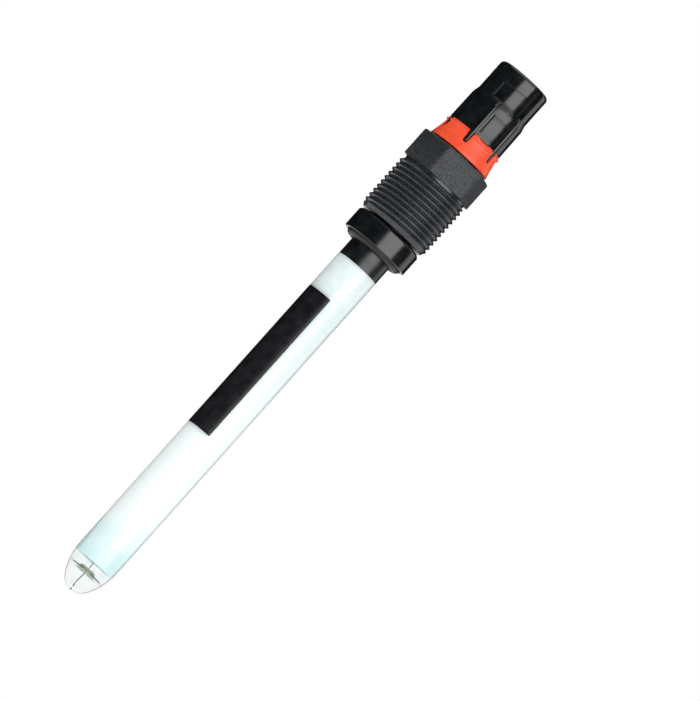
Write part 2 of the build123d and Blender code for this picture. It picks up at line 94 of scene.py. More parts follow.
# %% Add a node
def add_node(tree, kind, settings=None, links=None):
    """Adds a node, sets its inputs or properties by name, and links what feeds its inputs."""
    node = tree.nodes.new(kind)
    for name, value in (settings or {}).items():
        if isinstance(name, int) or name in node.inputs:
            node.inputs[name].default_value = value
        else:
            setattr(node, name, value)
    for name, source in (links or {}).items():
        tree.links.new(source, node.inputs[name])
    return node


def start_material(name, settings):
    """A new material with these values on its shader: returns it, its tree and its shader."""
    material = bpy.data.materials.new(name)
    material.use_nodes = True
    tree = material.node_tree
    shader = tree.nodes["Principled BSDF"]
    for socket, value in settings.items():
        shader.inputs[socket].default_value = value
    return material, tree, shader


def object_parts(tree):
    """The X, Y and Z of the object's own coordinates, in metres."""
    place = add_node(tree, "ShaderNodeTexCoord").outputs["Object"]
    return add_node(tree, "ShaderNodeSeparateXYZ", None, {"Vector": place}).outputs


def per_mm(size):
    """The texture scale at which a pattern's features are about this many millimetres."""
    return 1 / (size * MM)


def grain(tree, size, detail=2.0):
    """A fixed three-dimensional noise whose grains are about this many millimetres."""
    place = add_node(tree, "ShaderNodeTexCoord").outputs["Object"]
    settings = {"Scale": per_mm(size), "Detail": detail}
    return add_node(tree, "ShaderNodeTexNoise", settings, {"Vector": place}).outputs["Fac"]


def add_bump(tree, shader, height, depth, strength=1.0):
    """Raises a material's surface by this many millimetres where height is 1."""
    settings = {"Strength": strength, "Distance": depth * MM}
    bump = add_node(tree, "ShaderNodeBump", settings, {"Height": height})
    tree.links.new(bump.outputs["Normal"], shader.inputs["Normal"])


def tint(tree, shader, factor, first, second, start=0.35, stop=0.65):
    """Runs a material's colour from the first hex value to the second as factor rises."""
    ramp = add_node(tree, "ShaderNodeValToRGB", None, {"Fac": factor})
    ramp.color_ramp.elements[0].position = start
    ramp.color_ramp.elements[0].color = linear(first)
    ramp.color_ramp.elements[1].position = stop
    ramp.color_ramp.elements[1].color = linear(second)
    tree.links.new(ramp.outputs["Color"], shader.inputs["Base Color"])
    return ramp


def vary_roughness(tree, shader, factor, least, most):
    """Runs a material's roughness from least to most as factor rises from 0.3 to 0.7."""
    settings = {"From Min": 0.3, "From Max": 0.7, "To Min": least, "To Max": most}
    spread = add_node(tree, "ShaderNodeMapRange", settings, {"Value": factor})
    tree.links.new(spread.outputs["Result"], shader.inputs["Roughness"])


# %% [markdown]
# ## Glass
# The tip, the shaft and the inner stem are borosilicate glass, drawn as a tube and closed in a
# flame. The eye sees it by what it bends, and by a faint green where it looks through a long way of
# it. So it is a plain transmitting shader with that glass's own IOR, a hint of green in its colour,
# and a very slight waviness, as drawn tube has. Light that falls on what stands behind the glass
# would reach it only as caustics, which a path tracer is slow to find, so shadow and diffuse rays
# pass straight through.

# %% Borosilicate glass
def borosilicate_glass():
    """Drawn and flame-closed tube: clear, fire polished, faintly green through its edge."""
    material, tree, shader = start_material("borosilicate_glass", {
        "Base Color": linear("#fafdfd"), "Transmission Weight": 1.0, "IOR": 1.473, "Roughness": 0.004,
    })
    add_bump(tree, shader, grain(tree, 6.0), 0.012, 0.25)
    path = add_node(tree, "ShaderNodeLightPath").outputs
    soft = add_node(tree, "ShaderNodeMath", {"operation": "MAXIMUM"},
                    {0: path["Is Shadow Ray"], 1: path["Is Diffuse Ray"]}).outputs[0]
    clear = add_node(tree, "ShaderNodeBsdfTransparent", {"Color": linear("#f6fbfa")}).outputs[0]
    both = add_node(tree, "ShaderNodeMixShader", None, {0: soft, 1: shader.outputs[0], 2: clear})
    tree.links.new(both.outputs[0], tree.nodes["Material Output"].inputs["Surface"])
    return material


glass = borosilicate_glass()
print("made", glass.name)

# %% [markdown]
# ## The white electrolyte
# Behind the glass stands a stiff white polymer electrolyte. It is nearly white, a little blue-green
# near the tip where the light runs through it, greyer near the neck, and faintly cloudy. A ramp along
# the height gives the first two, and a coarse noise gives the clouds. On its left side, away from the
# key light, a greenish-grey strip of painted shade runs up from its foot and narrows to nothing over a
# dozen millimetres: its edge stands 4.5 millimetres left of the axis at the foot, and moves out by its
# taper for each millimetre of height.

# %% Polymer electrolyte
SHADE_STRIP_EDGE = 4.5
SHADE_STRIP_TAPER = 0.042
SHADE_STRIP_BLUR = 0.12
CLOUD_SHIFT = 0.16


def polymer_electrolyte(bottom, top):
    """Cast polymer gel: matt white, cloudy, blue-green at its foot and greyer at its head."""
    material, tree, shader = start_material("polymer_electrolyte", {"Roughness": 0.6})
    across = object_parts(tree)
    settings = {"From Min": bottom * MM, "From Max": top * MM}
    share = add_node(tree, "ShaderNodeMapRange", settings, {"Value": across["Z"]}).outputs["Result"]
    clouds = grain(tree, 5.0, 4.0)
    settings = {"operation": "MULTIPLY_ADD", 1: CLOUD_SHIFT, 2: -CLOUD_SHIFT / 2}
    spread = add_node(tree, "ShaderNodeMath", settings, {0: clouds})
    mixed = add_node(tree, "ShaderNodeMath", {"operation": "ADD"}, {0: share, 1: spread.outputs[0]})
    ramp = tint(tree, shader, mixed.outputs[0], "#d3eaee", "#e4eeee", 0.0, 1.0)
    for position, colour in ((0.07, "#e2f3f5"), (0.17, "#fafcfc"), (0.6, "#f6fafa")):
        ramp.color_ramp.elements.new(position).color = linear(colour)
    # Painted shade: a greenish-grey strip on the gel's left side, away from the key light, whose edge
    # moves out with height.
    settings = {"operation": "MULTIPLY_ADD", 1: -SHADE_STRIP_TAPER * (top - bottom) * MM, 2: -SHADE_STRIP_EDGE * MM}
    edge = add_node(tree, "ShaderNodeMath", settings, {0: share}).outputs[0]
    past = add_node(tree, "ShaderNodeMath", {"operation": "SUBTRACT"}, {0: edge, 1: across["X"]})
    settings = {"From Max": SHADE_STRIP_BLUR * MM, "To Max": 0.85}
    strip = add_node(tree, "ShaderNodeMapRange", settings, {"Value": past.outputs[0]}).outputs["Result"]
    # The painted shade's greenish-grey, mixed over the ramp where the strip lies.
    shaded = add_node(tree, "ShaderNodeMix", {"data_type": "RGBA", 7: linear("#c3dcd5")},
                      {0: strip, 6: ramp.outputs["Color"]})
    tree.links.new(shaded.outputs[2], shader.inputs["Base Color"])
    return material


electrolyte = polymer_electrolyte(low("reference_gel"), high("reference_gel"))
print("made", electrolyte.name)

# %% [markdown]
# ## Black mouldings
# The plug head, the collar and the neck come from polished moulds: a dark glassy plastic whose
# highlights keep hard edges. The gland is a filled plastic from a spark-eroded mould, so its
# hexagon is evenly rough and goes pale grey where the light meets it, while its thread was cut
# smooth in the mould. The grain of spark erosion is about a tenth of a millimetre, and is drawn
# here at nearly half a millimetre, because a finer one would vanish in the picture.

# %% Black plastics
HEXAGON_HEIGHT = 8.0


def polished_black(name, roughness):
    """Polyphenylene sulphide from a polished mould: nearly black, hard-edged highlights."""
    material, tree, shader = start_material(name, {"IOR": 1.62})
    clouds = grain(tree, 2.5, 3.0)
    tint(tree, shader, clouds, "#0d0f11", "#15181a")
    vary_roughness(tree, shader, clouds, roughness * 0.8, roughness * 1.2)
    add_bump(tree, shader, grain(tree, 0.35, 1.0), 0.004, 0.35)
    return material


def spark_textured_black(hexagon_low):
    """Filled plastic from a spark-eroded mould: speckled matt hexagon, satin thread."""
    material, tree, shader = start_material("spark_textured_black", {"IOR": 1.6})
    settings = {"operation": "GREATER_THAN", 1: hexagon_low * MM}
    on_hexagon = add_node(tree, "ShaderNodeMath", settings, {0: object_parts(tree)["Z"]}).outputs[0]
    speckle = grain(tree, 0.45, 3.0)
    tint(tree, shader, speckle, "#131518", "#32353a")
    settings = {"To Min": 0.26, "To Max": 0.4}
    rough = add_node(tree, "ShaderNodeMapRange", settings, {"Value": on_hexagon})
    tree.links.new(rough.outputs["Result"], shader.inputs["Roughness"])
    settings = {"operation": "MULTIPLY"}
    raised = add_node(tree, "ShaderNodeMath", settings, {0: speckle, 1: on_hexagon}).outputs[0]
    add_bump(tree, shader, raised, 0.35, 1.0)
    return material


gloss_black = polished_black("polished_black_plastic", 0.2)
neck_black = polished_black("neck_black_plastic", 0.32)
gland_black = spark_textured_black(high("screw_gland") - HEXAGON_HEIGHT - 0.1)
print("made", gloss_black.name, neck_black.name, gland_black.name)

# %% [markdown]
# ## The orange ring
# The ring is a soft-looking polypropylene in a signal orange. Light goes a little way into it, which
# warms its shadows, so it gets some subsurface scattering with a radius of about half a millimetre,
# and a satin surface.

# %% Orange polypropylene
def orange_polypropylene():
    """Moulded polypropylene: satin, signal orange, slightly translucent."""
    material, tree, shader = start_material("orange_polypropylene", {
        "IOR": 1.49, "Subsurface Weight": 0.15, "Subsurface Scale": 0.5 * MM,
        "Subsurface Radius": (1.0, 0.25, 0.1),
    })
    clouds = grain(tree, 1.8, 3.0)
    tint(tree, shader, clouds, "#ee4a28", "#f6552f")
    vary_roughness(tree, shader, clouds, 0.34, 0.44)
    add_bump(tree, shader, grain(tree, 0.3, 1.0), 0.004, 0.4)
    return material


ring_orange = orange_polypropylene()
print("made", ring_orange.name)

# %% [markdown]
# ## Rubber, print, metals and the hidden pieces
# The seal is a black fluoroelastomer with a dull bloom. The panel is a screen-printed ceramic ink,
# with the faint weave of its screen: a wave texture, whose bands are a tenth of pi apart at a scale
# of 1. Platinum and silver are metals, drawn as wire. The pieces that the housing hides get plain
# true finishes too, because a part is looked at from inside when it is taken apart.

# %% Small finishes
def simple_finish(name, first, second, size, roughness, metallic=0.0, depth=0.0):
    """A material of two near colours in grains of this many millimetres."""
    material, tree, shader = start_material(name, {"Roughness": roughness, "Metallic": metallic})
    speckle = grain(tree, size, 3.0)
    tint(tree, shader, speckle, first, second)
    if depth:
        add_bump(tree, shader, speckle, depth, 0.5)
    return material


WAVE = math.pi / 10


def screen_printed_ink():
    """Fired ceramic ink: near black, semi-gloss, with the weave of its printing screen."""
    material, tree, shader = start_material("screen_printed_ink", {"IOR": 1.52})
    place = add_node(tree, "ShaderNodeTexCoord").outputs["Object"]
    settings = {
        "wave_type": "BANDS", "bands_direction": "Z", "Scale": per_mm(0.45) * WAVE, "Distortion": 0.4,
    }
    weave = add_node(tree, "ShaderNodeTexWave", settings, {"Vector": place}).outputs["Fac"]
    clouds = grain(tree, 3.0, 3.0)
    tint(tree, shader, clouds, "#131316", "#1c1c20")
    vary_roughness(tree, shader, clouds, 0.26, 0.36)
    add_bump(tree, shader, weave, 0.004, 0.35)
    return material


ink = screen_printed_ink()
rubber = simple_finish("fluoroelastomer", "#0c0c0d", "#161617", 0.5, 0.42, depth=0.006)
platinum = simple_finish("drawn_platinum", "#55554f", "#6f6e69", 0.3, 0.3, metallic=1.0)
silver = simple_finish("drawn_silver", "#b9b7b0", "#8a857c", 1.2, 0.35, metallic=1.0)
seal_glass = simple_finish("sintered_seal_glass", "#7d7c62", "#a3a184", 0.8, 0.45, depth=0.01)
ceramic = simple_finish("porous_ceramic", "#d8d3c6", "#efece4", 0.12, 0.8, depth=0.01)
silicone = simple_finish("moulded_silicone", "#e2ecec", "#ecf3f3", 1.5, 0.5)
resin = simple_finish("cast_epoxy", "#0b0c0d", "#121314", 2.0, 0.18)
former_plastic = simple_finish("moulded_polyamide", "#cfcab9", "#dad6c8", 1.0, 0.5)
ferrite = simple_finish("sintered_ferrite", "#242426", "#303032", 0.2, 0.65, depth=0.01)
laminate = simple_finish("solder_mask", "#0d4a2c", "#125536", 0.6, 0.3, depth=0.004)
chip_epoxy = simple_finish("chip_epoxy", "#161718", "#1d1e20", 0.15, 0.6, depth=0.004)
titanate = simple_finish("barium_titanate", "#8d7350", "#a3875f", 0.2, 0.5)
copper = simple_finish("enamelled_copper", "#a9562a", "#c06a35", 0.3, 0.3, metallic=1.0)
print("made", len(bpy.data.materials), "materials in all")

# %% [markdown]
# ## Shapes by turning
# Nearly all of this sensor was turned or moulded round one axis, so the basic tool is a lathe: an
# outline of radii and heights, carried round. A second helper rounds an outline's corners before it
# is turned. That is better than a bevel afterwards, because each corner has the radius of its own
# tool, and the mesh stays even. Points closer than a thousandth of a millimetre are merged, because
# doubled points at a pole or a seam would break the smooth shading.

# %% Outline, lathe and piece
TURN_STEPS = 160
FINE_TURN_STEPS = 192
MERGE_WITHIN = 0.0008
DROP_WITHIN = 0.0004


def rounded(corners, steps=5):
    """A closed outline of (radius, height) from corners of (radius, height, rounding)."""
    outline = []
    for k, (x, y, size) in enumerate(corners):
        here = Vector((x, y))
        if not size:
            outline.append((x, y))
            continue
        back = (Vector(corners[k - 1][:2]) - here).normalized()
        ahead = (Vector(corners[(k + 1) % len(corners)][:2]) - here).normalized()
        half = back.angle(ahead) / 2
        centre = here + (back + ahead).normalized() * size / math.sin(half)
        start = here + back * size / math.tan(half) - centre
        end = here + ahead * size / math.tan(half) - centre
        sweep = start.angle_signed(end)
        for step in range(steps + 1):
            turn = -sweep * step / steps
            c, s = math.cos(turn), math.sin(turn)
            outline.append((
                centre.x + start.x * c - start.y * s,
                centre.y + start.x * s + start.y * c,
            ))
    return outline


def lathe(outline, steps=TURN_STEPS):
    """The points and faces of a closed outline that is carried round the axis."""
    points, faces = [], []
    size = len(outline)
    for step in range(steps):
        turn = 2 * math.pi * step / steps
        points += [(r * math.cos(turn), r * math.sin(turn), z) for r, z in outline]
        here, there = step * size, (step + 1) % steps * size
        for k in range(size):
            after = (k + 1) % size
            faces.append((here + k, there + k, there + after, here + after))
    return points, faces


def make_piece(name, points, faces, finish):
    """An object from points in millimetres, with doubles merged and faces turned outwards."""
    mesh = bpy.data.meshes.new(name)
    mesh.from_pydata([[c * MM for c in p] for p in points], [], faces)
    piece = bpy.data.objects.new(name, mesh)
    bpy.context.scene.collection.objects.link(piece)
    mesh.materials.append(finish)
    clean(piece)
    return piece


def clean(piece, sharp=40):
    """Merges doubles, drops empty faces, turns faces outwards and smooths gentle angles."""
    work = bmesh.new()
    work.from_mesh(piece.data)
    bmesh.ops.remove_doubles(work, verts=work.verts, dist=MERGE_WITHIN * MM)
    bmesh.ops.dissolve_degenerate(work, edges=work.edges, dist=DROP_WITHIN * MM)
    bmesh.ops.recalc_face_normals(work, faces=work.faces)
    work.to_mesh(piece.data)
    work.free()
    piece.data.shade_smooth()
    piece.data.set_sharp_from_angle(angle=math.radians(sharp))


def settle(piece):
    """Turns an object with modifiers into a plain mesh, in place."""
    bpy.context.view_layer.update()
    graph = bpy.context.evaluated_depsgraph_get()
    finish = piece.data.materials[0]
    mesh = bpy.data.meshes.new_from_object(piece.evaluated_get(graph))
    piece.modifiers.clear()
    piece.data = mesh
    mesh.materials.clear()
    mesh.materials.append(finish)
    for face in mesh.polygons:
        face.material_index = 0


rounded_square = rounded([(1, 0, 0.1), (2, 0, 0.1), (2, 1, 0.1), (1, 1, 0.1)])
print("a rounded square has", len(rounded_square), "points")

# %% [markdown]
# ## Geometry trees
# A shape that follows a rule is made best by a geometry tree, a graph that works out the mesh. One
# helper starts a tree with named inputs for its sizes. The other puts it on a piece, gives it the
# values and turns the result into a plain mesh. Modifier inputs are set by the socket's identifier,
# which stays true when a name is used twice.

# %% Start a tree and use it
def new_tree(name, inputs):
    """A geometry tree with these named inputs, and its input and output nodes."""
    tree = bpy.data.node_groups.new(name, "GeometryNodeTree")
    tree.interface.new_socket("Geometry", in_out="INPUT", socket_type="NodeSocketGeometry")
    for title, kind in inputs:
        tree.interface.new_socket(title, in_out="INPUT", socket_type="NodeSocket" + kind)
    tree.interface.new_socket("Geometry", in_out="OUTPUT", socket_type="NodeSocketGeometry")
    return tree, add_node(tree, "NodeGroupInput").outputs, add_node(tree, "NodeGroupOutput")


def use_tree(piece, tree, values):
    """Puts a geometry tree on a piece with these input values and settles it to a plain mesh."""
    modifier = piece.modifiers.new(tree.name, "NODES")
    modifier.node_group = tree
    for item in tree.interface.items_tree:
        if item.in_out == "INPUT" and item.name in values:
            modifier[item.identifier] = values[item.name]
    settle(piece)


print("tree helpers:", new_tree.__name__, "and", use_tree.__name__)

# %% [markdown]
# ## The gland's thread
# A screw thread follows one rule: as the angle goes once round, the profile climbs one pitch. So the
# thread is a geometry tree. It starts from a flat grid, whose columns become angles and whose rows
# become steps along the profile. A curve gives the profile's height within one pitch, with straight
# flanks and slightly rounded crests. The lead-in below and the run-out above are two cones that
# limit the radius. Rows beyond either end fall onto the end's plane and are merged. A tiny nudge
# keeps a row that stands exactly on a whole turn from falling into the turn before it.

# %% Thread sizes
gland_low = low("screw_gland")
hexagon_high = high("screw_gland")
hexagon_low = hexagon_high - HEXAGON_HEIGHT
relief_height = 0.8
thread_high = hexagon_low - relief_height
thread_pitch = 25.4 / 18
thread_radius = 10.2
thread_core = thread_radius - 0.67
lead_in_radius = thread_radius - 0.9
relief_radius = thread_core - 0.1
gland_bore = 6.03
rows_a_turn = 16
thread_start = -1.6
lead_in_slope = 0.6
relief_slope = 1.6
seam_nudge = 0.0001
crest_profile = ((0.03, 0.0), (0.42, 0.93), (0.47, 1.0), (0.56, 1.0), (0.61, 0.93))


def screw_thread_tree():
    """A threaded skin from a grid: sizes in metres, heights above the origin."""
    names = ["Pitch", "Core", "Crest", "Lowest", "Highest", "Lead In Radius", "Relief Radius"]
    inputs = [(n, "Float") for n in names]
    inputs += [("Turns", "Int"), ("Rows A Turn", "Int"), ("Steps", "Int"), ("Start", "Float")]
    inputs += [("Finish", "Material")]
    tree, given, out = new_tree("screw_thread", inputs)

    def work(operation, first, second=None, third=None):
        settings, links = {"operation": operation}, {}
        for k, value in enumerate((first, second, third)):
            if isinstance(value, (int, float)):
                settings[k] = float(value)
            elif value is not None:
                links[k] = value
        return add_node(tree, "ShaderNodeMath", settings, links).outputs[0]

    rows = work("MULTIPLY", given["Turns"], given["Rows A Turn"])
    grid = add_node(tree, "GeometryNodeMeshGrid", {"Size X": 1.0, "Size Y": 1.0}, {
        "Vertices X": work("ADD", given["Steps"], 1), "Vertices Y": work("ADD", rows, 1),
    }).outputs["Mesh"]
    place = add_node(tree, "GeometryNodeInputPosition").outputs[0]
    across = add_node(tree, "ShaderNodeSeparateXYZ", None, {"Vector": place}).outputs
    turn = work("ADD", across["X"], 0.5)
    climb = work("MULTIPLY", work("ADD", across["Y"], 0.5), given["Turns"])
    phase = work("FRACT", work("ADD", climb, seam_nudge))
    profile = add_node(tree, "ShaderNodeFloatCurve", None, {"Value": phase})
    curve = profile.mapping.curves[0]
    curve.points[0].location = (0.0, 0.0)
    curve.points[1].location = (1.0, 0.0)
    for position, rise in crest_profile:
        curve.points.new(position, rise)
    for point in curve.points:
        point.handle_type = "VECTOR"
    profile.mapping.update()
    radius = work("MULTIPLY_ADD", work("SUBTRACT", given["Crest"], given["Core"]),
                  profile.outputs[0], given["Core"])
    rise = work("MULTIPLY", work("ADD", work("ADD", climb, turn), given["Start"]), given["Pitch"])
    height = work("MINIMUM", work("MAXIMUM", work("ADD", rise, given["Lowest"]), given["Lowest"]),
                  given["Highest"])
    above = work("SUBTRACT", height, given["Lowest"])
    below = work("SUBTRACT", given["Highest"], height)
    lead_in = work("MULTIPLY_ADD", above, lead_in_slope, given["Lead In Radius"])
    relief = work("MULTIPLY_ADD", below, relief_slope, given["Relief Radius"])
    radius = work("MINIMUM", work("MINIMUM", radius, lead_in), relief)
    angle = work("MULTIPLY", turn, 2 * math.pi)
    spot = add_node(tree, "ShaderNodeCombineXYZ", None, {
        "X": work("MULTIPLY", radius, work("COSINE", angle)),
        "Y": work("MULTIPLY", radius, work("SINE", angle)), "Z": height,
    }).outputs[0]
    wound = add_node(tree, "GeometryNodeSetPosition", None, {"Geometry": grid, "Position": spot})
    real = add_node(tree, "GeometryNodeRealizeInstances", None, {"Geometry": wound.outputs[0]})
    painted = add_node(tree, "GeometryNodeSetMaterial", None,
                       {"Geometry": real.outputs[0], "Material": given["Finish"]})
    tree.links.new(painted.outputs[0], out.inputs["Geometry"])
    return tree


print("thread of", round(thread_pitch, 3), "mm pitch,", 2 * thread_radius, "mm across")

# %% [markdown]
# ## Winding it
# The tree replaces whatever mesh it is given, so it starts from a single point. The number of turns
# comes from the height and the pitch, with a few to spare, because both ends are trimmed flat.

# %% Wind the thread
spare_turns = 3
thread_turns = int((thread_high - gland_low) / thread_pitch) + spare_turns
gland = make_piece("screw_gland_moulding", [(0, 0, 0)], [], gland_black)
use_tree(gland, screw_thread_tree(), {
    "Pitch": thread_pitch * MM, "Core": thread_core * MM, "Crest": thread_radius * MM,
    "Lowest": gland_low * MM, "Highest": thread_high * MM, "Lead In Radius": lead_in_radius * MM,
    "Relief Radius": relief_radius * MM, "Turns": thread_turns, "Rows A Turn": rows_a_turn,
    "Steps": TURN_STEPS, "Start": thread_start, "Finish": gland_black,
})
print("thread", len(gland.data.polygons), "faces in", thread_turns, "turns")

# %% [markdown]
# ## The hexagon and the bore
# The hexagon is part of the same moulding. Its section is six flats joined by round corners. Rings
# of that section, drawn in a little at the top and the bottom, give its edges their small chamfers.
# The bore is an open strip on the lathe. The skins share their rims: where two rims stand in one
# plane, within a few thousandths of a millimetre, a bridge of faces joins them, and the moulding is
# closed without a boolean.

# %% Make the hexagon, the bore and the bridges
across_flats = 19.0
hexagon_corner = 1.3
hexagon_turn = 14.1 - 90
corner_steps = 6
foot_chamfer = 0.15
head_chamfer = 0.4
bore_chamfer = 0.3
rim_merge_within = 0.001
rim_drop_within = 0.0005
rim_plane_within = 0.002


def hexagon_section(inset):
    """The hexagon's outline, drawn in by this much, in order round the axis."""
    corner = hexagon_corner - inset
    centre = (across_flats / 2 - hexagon_corner) / math.cos(math.radians(30))
    outline = []
    for side in range(6):
        middle = math.radians(hexagon_turn + 30 + 60 * side)
        for step in range(corner_steps + 1):
            turn = middle + math.radians(-30 + 60 * step / corner_steps)
            x = centre * math.cos(middle) + corner * math.cos(turn)
            y = centre * math.sin(middle) + corner * math.sin(turn)
            outline.append((x, y))
    return outline


def skin(levels):
    """The faces between closed rings of points that have the same number of points each."""
    size = len(levels[0])
    faces = []
    for k in range(len(levels) - 1):
        here, there = k * size, (k + 1) * size
        for i in range(size):
            after = (i + 1) % size
            faces.append((here + i, here + after, there + after, there + i))
    return [p for level in levels for p in level], faces


def circle(radius, height, steps=TURN_STEPS):
    """A ring of points at this radius and height."""
    turns = [2 * math.pi * k / steps for k in range(steps)]
    return [(radius * math.cos(t), radius * math.sin(t), height) for t in turns]


plan = [(hexagon_low, foot_chamfer), (hexagon_low + 0.04, 0.04), (hexagon_low + foot_chamfer, 0.0)]
plan += [(hexagon_high - head_chamfer, 0.0), (hexagon_high - 0.3, 0.03), (hexagon_high - 0.03, 0.3)]
plan += [(hexagon_high, head_chamfer)]
sides = skin([[(x, y, z) for x, y in hexagon_section(inset)] for z, inset in plan])
bore = skin([
    circle(lead_in_radius, gland_low), circle(gland_bore, gland_low),
    circle(gland_bore, hexagon_high - bore_chamfer), circle(gland_bore + bore_chamfer, hexagon_high),
])
relief = skin([circle(relief_radius, thread_high), circle(relief_radius, hexagon_low)])


def join_skins(piece, skins, bridges):
    """Adds skins to a piece, merges them and bridges the open rims at these heights."""
    work = bmesh.new()
    work.from_mesh(piece.data)
    for points, faces in skins:
        made = [work.verts.new([c * MM for c in p]) for p in points]
        for face in faces:
            work.faces.new([made[k] for k in face])
    bmesh.ops.remove_doubles(work, verts=work.verts, dist=rim_merge_within * MM)
    bmesh.ops.dissolve_degenerate(work, edges=work.edges, dist=rim_drop_within * MM)
    for height in bridges:
        rims = [e for e in work.edges if e.is_boundary
                and all(abs(v.co.z - height * MM) < rim_plane_within * MM for v in e.verts)]
        bmesh.ops.bridge_loops(work, edges=rims)
    open_edges = sum(1 for e in work.edges if not e.is_manifold)
    work.to_mesh(piece.data)
    work.free()
    clean(piece)
    return open_edges


open_edges = join_skins(gland, [sides, bore, relief], [hexagon_low, hexagon_high])
print("gland", len(gland.data.polygons), "faces,", open_edges, "open edges")

# %% [markdown]
# ## The glass
# The dome was blown on the end of the drawn tube, so both are one piece of glass here, as they are
# in life. That matters to the eye: a joint between two glass bodies would show as a mirror. The
# outline is the nose's arc, the dome's side and the tube, and the same again inside, a wall apart.
# The weld widens the dome's base to the shaft over half a millimetre, and fire rounds the far edge.

# %% Make the glass
shaft_radius = reach("shaft_tube")
shaft_wall = 1.0
shaft_bore = shaft_radius - shaft_wall
shaft_low = low("shaft_tube")
shaft_high = high("shaft_tube")
tip = low("tip_dome")
dome_wall = 0.9
nose_radius = 4.1
nose_turn = 54
dome_base_radius = 5.85
weld_height = 0.5


def nose(radius, height, steps=14):
    """The arc of the dome's nose, from the axis outwards."""
    angles = [math.radians(nose_turn * k / steps) for k in range(steps + 1)]
    return [(radius * math.sin(a), height + radius * (1 - math.cos(a))) for a in angles]


def side(start, end, slope, steps=16):
    """An arc from start to end that leaves start at this slope, without start itself."""
    run, rise = end[0] - start[0], end[1] - start[1]
    chord = math.hypot(run, rise)
    bend = 2 * (math.atan2(rise, run) - slope)
    radius = chord / 2 / math.sin(bend / 2)
    out = []
    for k in range(1, steps + 1):
        turned = bend * k / steps
        step = 2 * radius * math.sin(turned / 2)
        heading = slope + turned / 2
        out.append((start[0] + step * math.cos(heading), start[1] + step * math.sin(heading)))
    return out


slope = math.radians(nose_turn)
outer = nose(nose_radius, tip)
outer += side(outer[-1], (dome_base_radius, shaft_low), slope)
inner = nose(nose_radius - dome_wall, tip + dome_wall)
inner += side(inner[-1], (dome_base_radius - dome_wall, shaft_low), slope)
weld = [
    (dome_base_radius + 0.06, shaft_low + 0.1), (shaft_radius - 0.03, shaft_low + 0.25),
    (shaft_radius, shaft_low + weld_height),
]
fire_polish = [
    (shaft_radius, shaft_high - 0.3), (shaft_radius - 0.09, shaft_high - 0.09),
    (shaft_radius - 0.3, shaft_high),
]
bore_wall = [(shaft_bore, shaft_high), (shaft_bore, shaft_low + weld_height)]
glass_outline = outer + weld + fire_polish + bore_wall + inner[::-1]
shaft_glass = make_piece("shaft_glass", *lathe(glass_outline, FINE_TURN_STEPS), glass)
print("glass", len(shaft_glass.data.polygons), "faces")

# %% [markdown]
# ## The electrolyte in the bore
# The gel was cast in the tube and wets the glass. If a sliver of air were left between the two, the
# glass would mirror the room at its rim, so the gel's skin reaches a few thousandths of a millimetre
# into the wall. It is a plain lathe round the stem.

# %% Make the electrolyte
gel_low = low("reference_gel")
gel_high = high("reference_gel")
wetting = 0.004
stem_radius = 1.55
gel_outline = [
    (stem_radius, gel_low), (shaft_bore + wetting, gel_low),
    (shaft_bore + wetting, gel_high), (stem_radius, gel_high),
]
gel = make_piece("electrolyte_gel", *lathe(gel_outline), electrolyte)
print("gel", len(gel.data.polygons), "faces")

# %% [markdown]
# ## The white stopper
# A silicone stopper closes the gel, and the white silicone that bonds the neck's spigot runs on
# from it, so the shaft is white right up to the neck. The bond is far thinner than a millimetre and
# wets the glass as the gel does. Stopper and bond are one outline on the lathe.

# %% Make the stopper and its bond
bond_depth = 0.035
bond_radius = shaft_bore + wetting
spigot_radius = shaft_bore - bond_depth
stopper_high = high("tube_stopper")
bond_high = shaft_high - 0.03
stopper_hole = stem_radius + 0.02
stopper_outline = [
    (stopper_hole, gel_high), (bond_radius, gel_high), (bond_radius, bond_high),
    (spigot_radius, bond_high), (spigot_radius, stopper_high), (stopper_hole, stopper_high),
]
stopper = make_piece("silicone_stopper", *lathe(stopper_outline), silicone)
print("stopper", len(stopper.data.polygons), "faces")

# %% [markdown]
# ## The platinum wire
# The wire is sealed into the dome's tip with its thick end flush, and runs up inside the stem. It was
# set by hand, so it leans a little before it enters the stem. Rings of points follow its middle
# line, whose lean is a smooth bump that is nothing at both ends.

# %% Make the wire
wire_low = low("platinum_wire")
wire_high = high("platinum_wire")
wire_end_length = 1.4
wire_taper = 0.25
lean_start = 0.3


def drawn_wire(name, thin, thick, lean, finish, rows=48, steps=20):
    """A wire that is thick over its first stretch and leans by this much above it."""
    stem_foot = low("seal_foot")
    levels = [[(0, 0, wire_low)] * steps]
    for row in range(rows + 1):
        z = wire_low + (wire_high - wire_low) * (row / rows) ** 1.5
        above = min(max((z - wire_low - lean_start) / (stem_foot - wire_low - lean_start), 0), 1)
        shift = lean * math.sin(math.pi * above) ** 2 * (1 - 0.55 * above)
        narrowed = min(max((z - wire_low - wire_end_length) / wire_taper, 0), 1)
        radius = thick + (thin - thick) * narrowed
        levels.append([(x + shift, y, z) for x, y, z in circle(radius, z, steps)])
    levels.append([(0, 0, wire_high)] * steps)
    return make_piece(name, *skin(levels), finish)


wire = drawn_wire("platinum_wire_drawn", thin=0.15, thick=0.2, lean=-0.28, finish=platinum)
print("wire", len(wire.data.polygons), "faces")

# %% [markdown]
# ## The thrust collar
# The loose collar is a plain polished ring. Its top falls away in a shallow cone with a soft edge,
# and its bottom edge is rounded just enough to catch a line of light. Inside, it steps round the
# seal and the neck's flange, as the solid does.

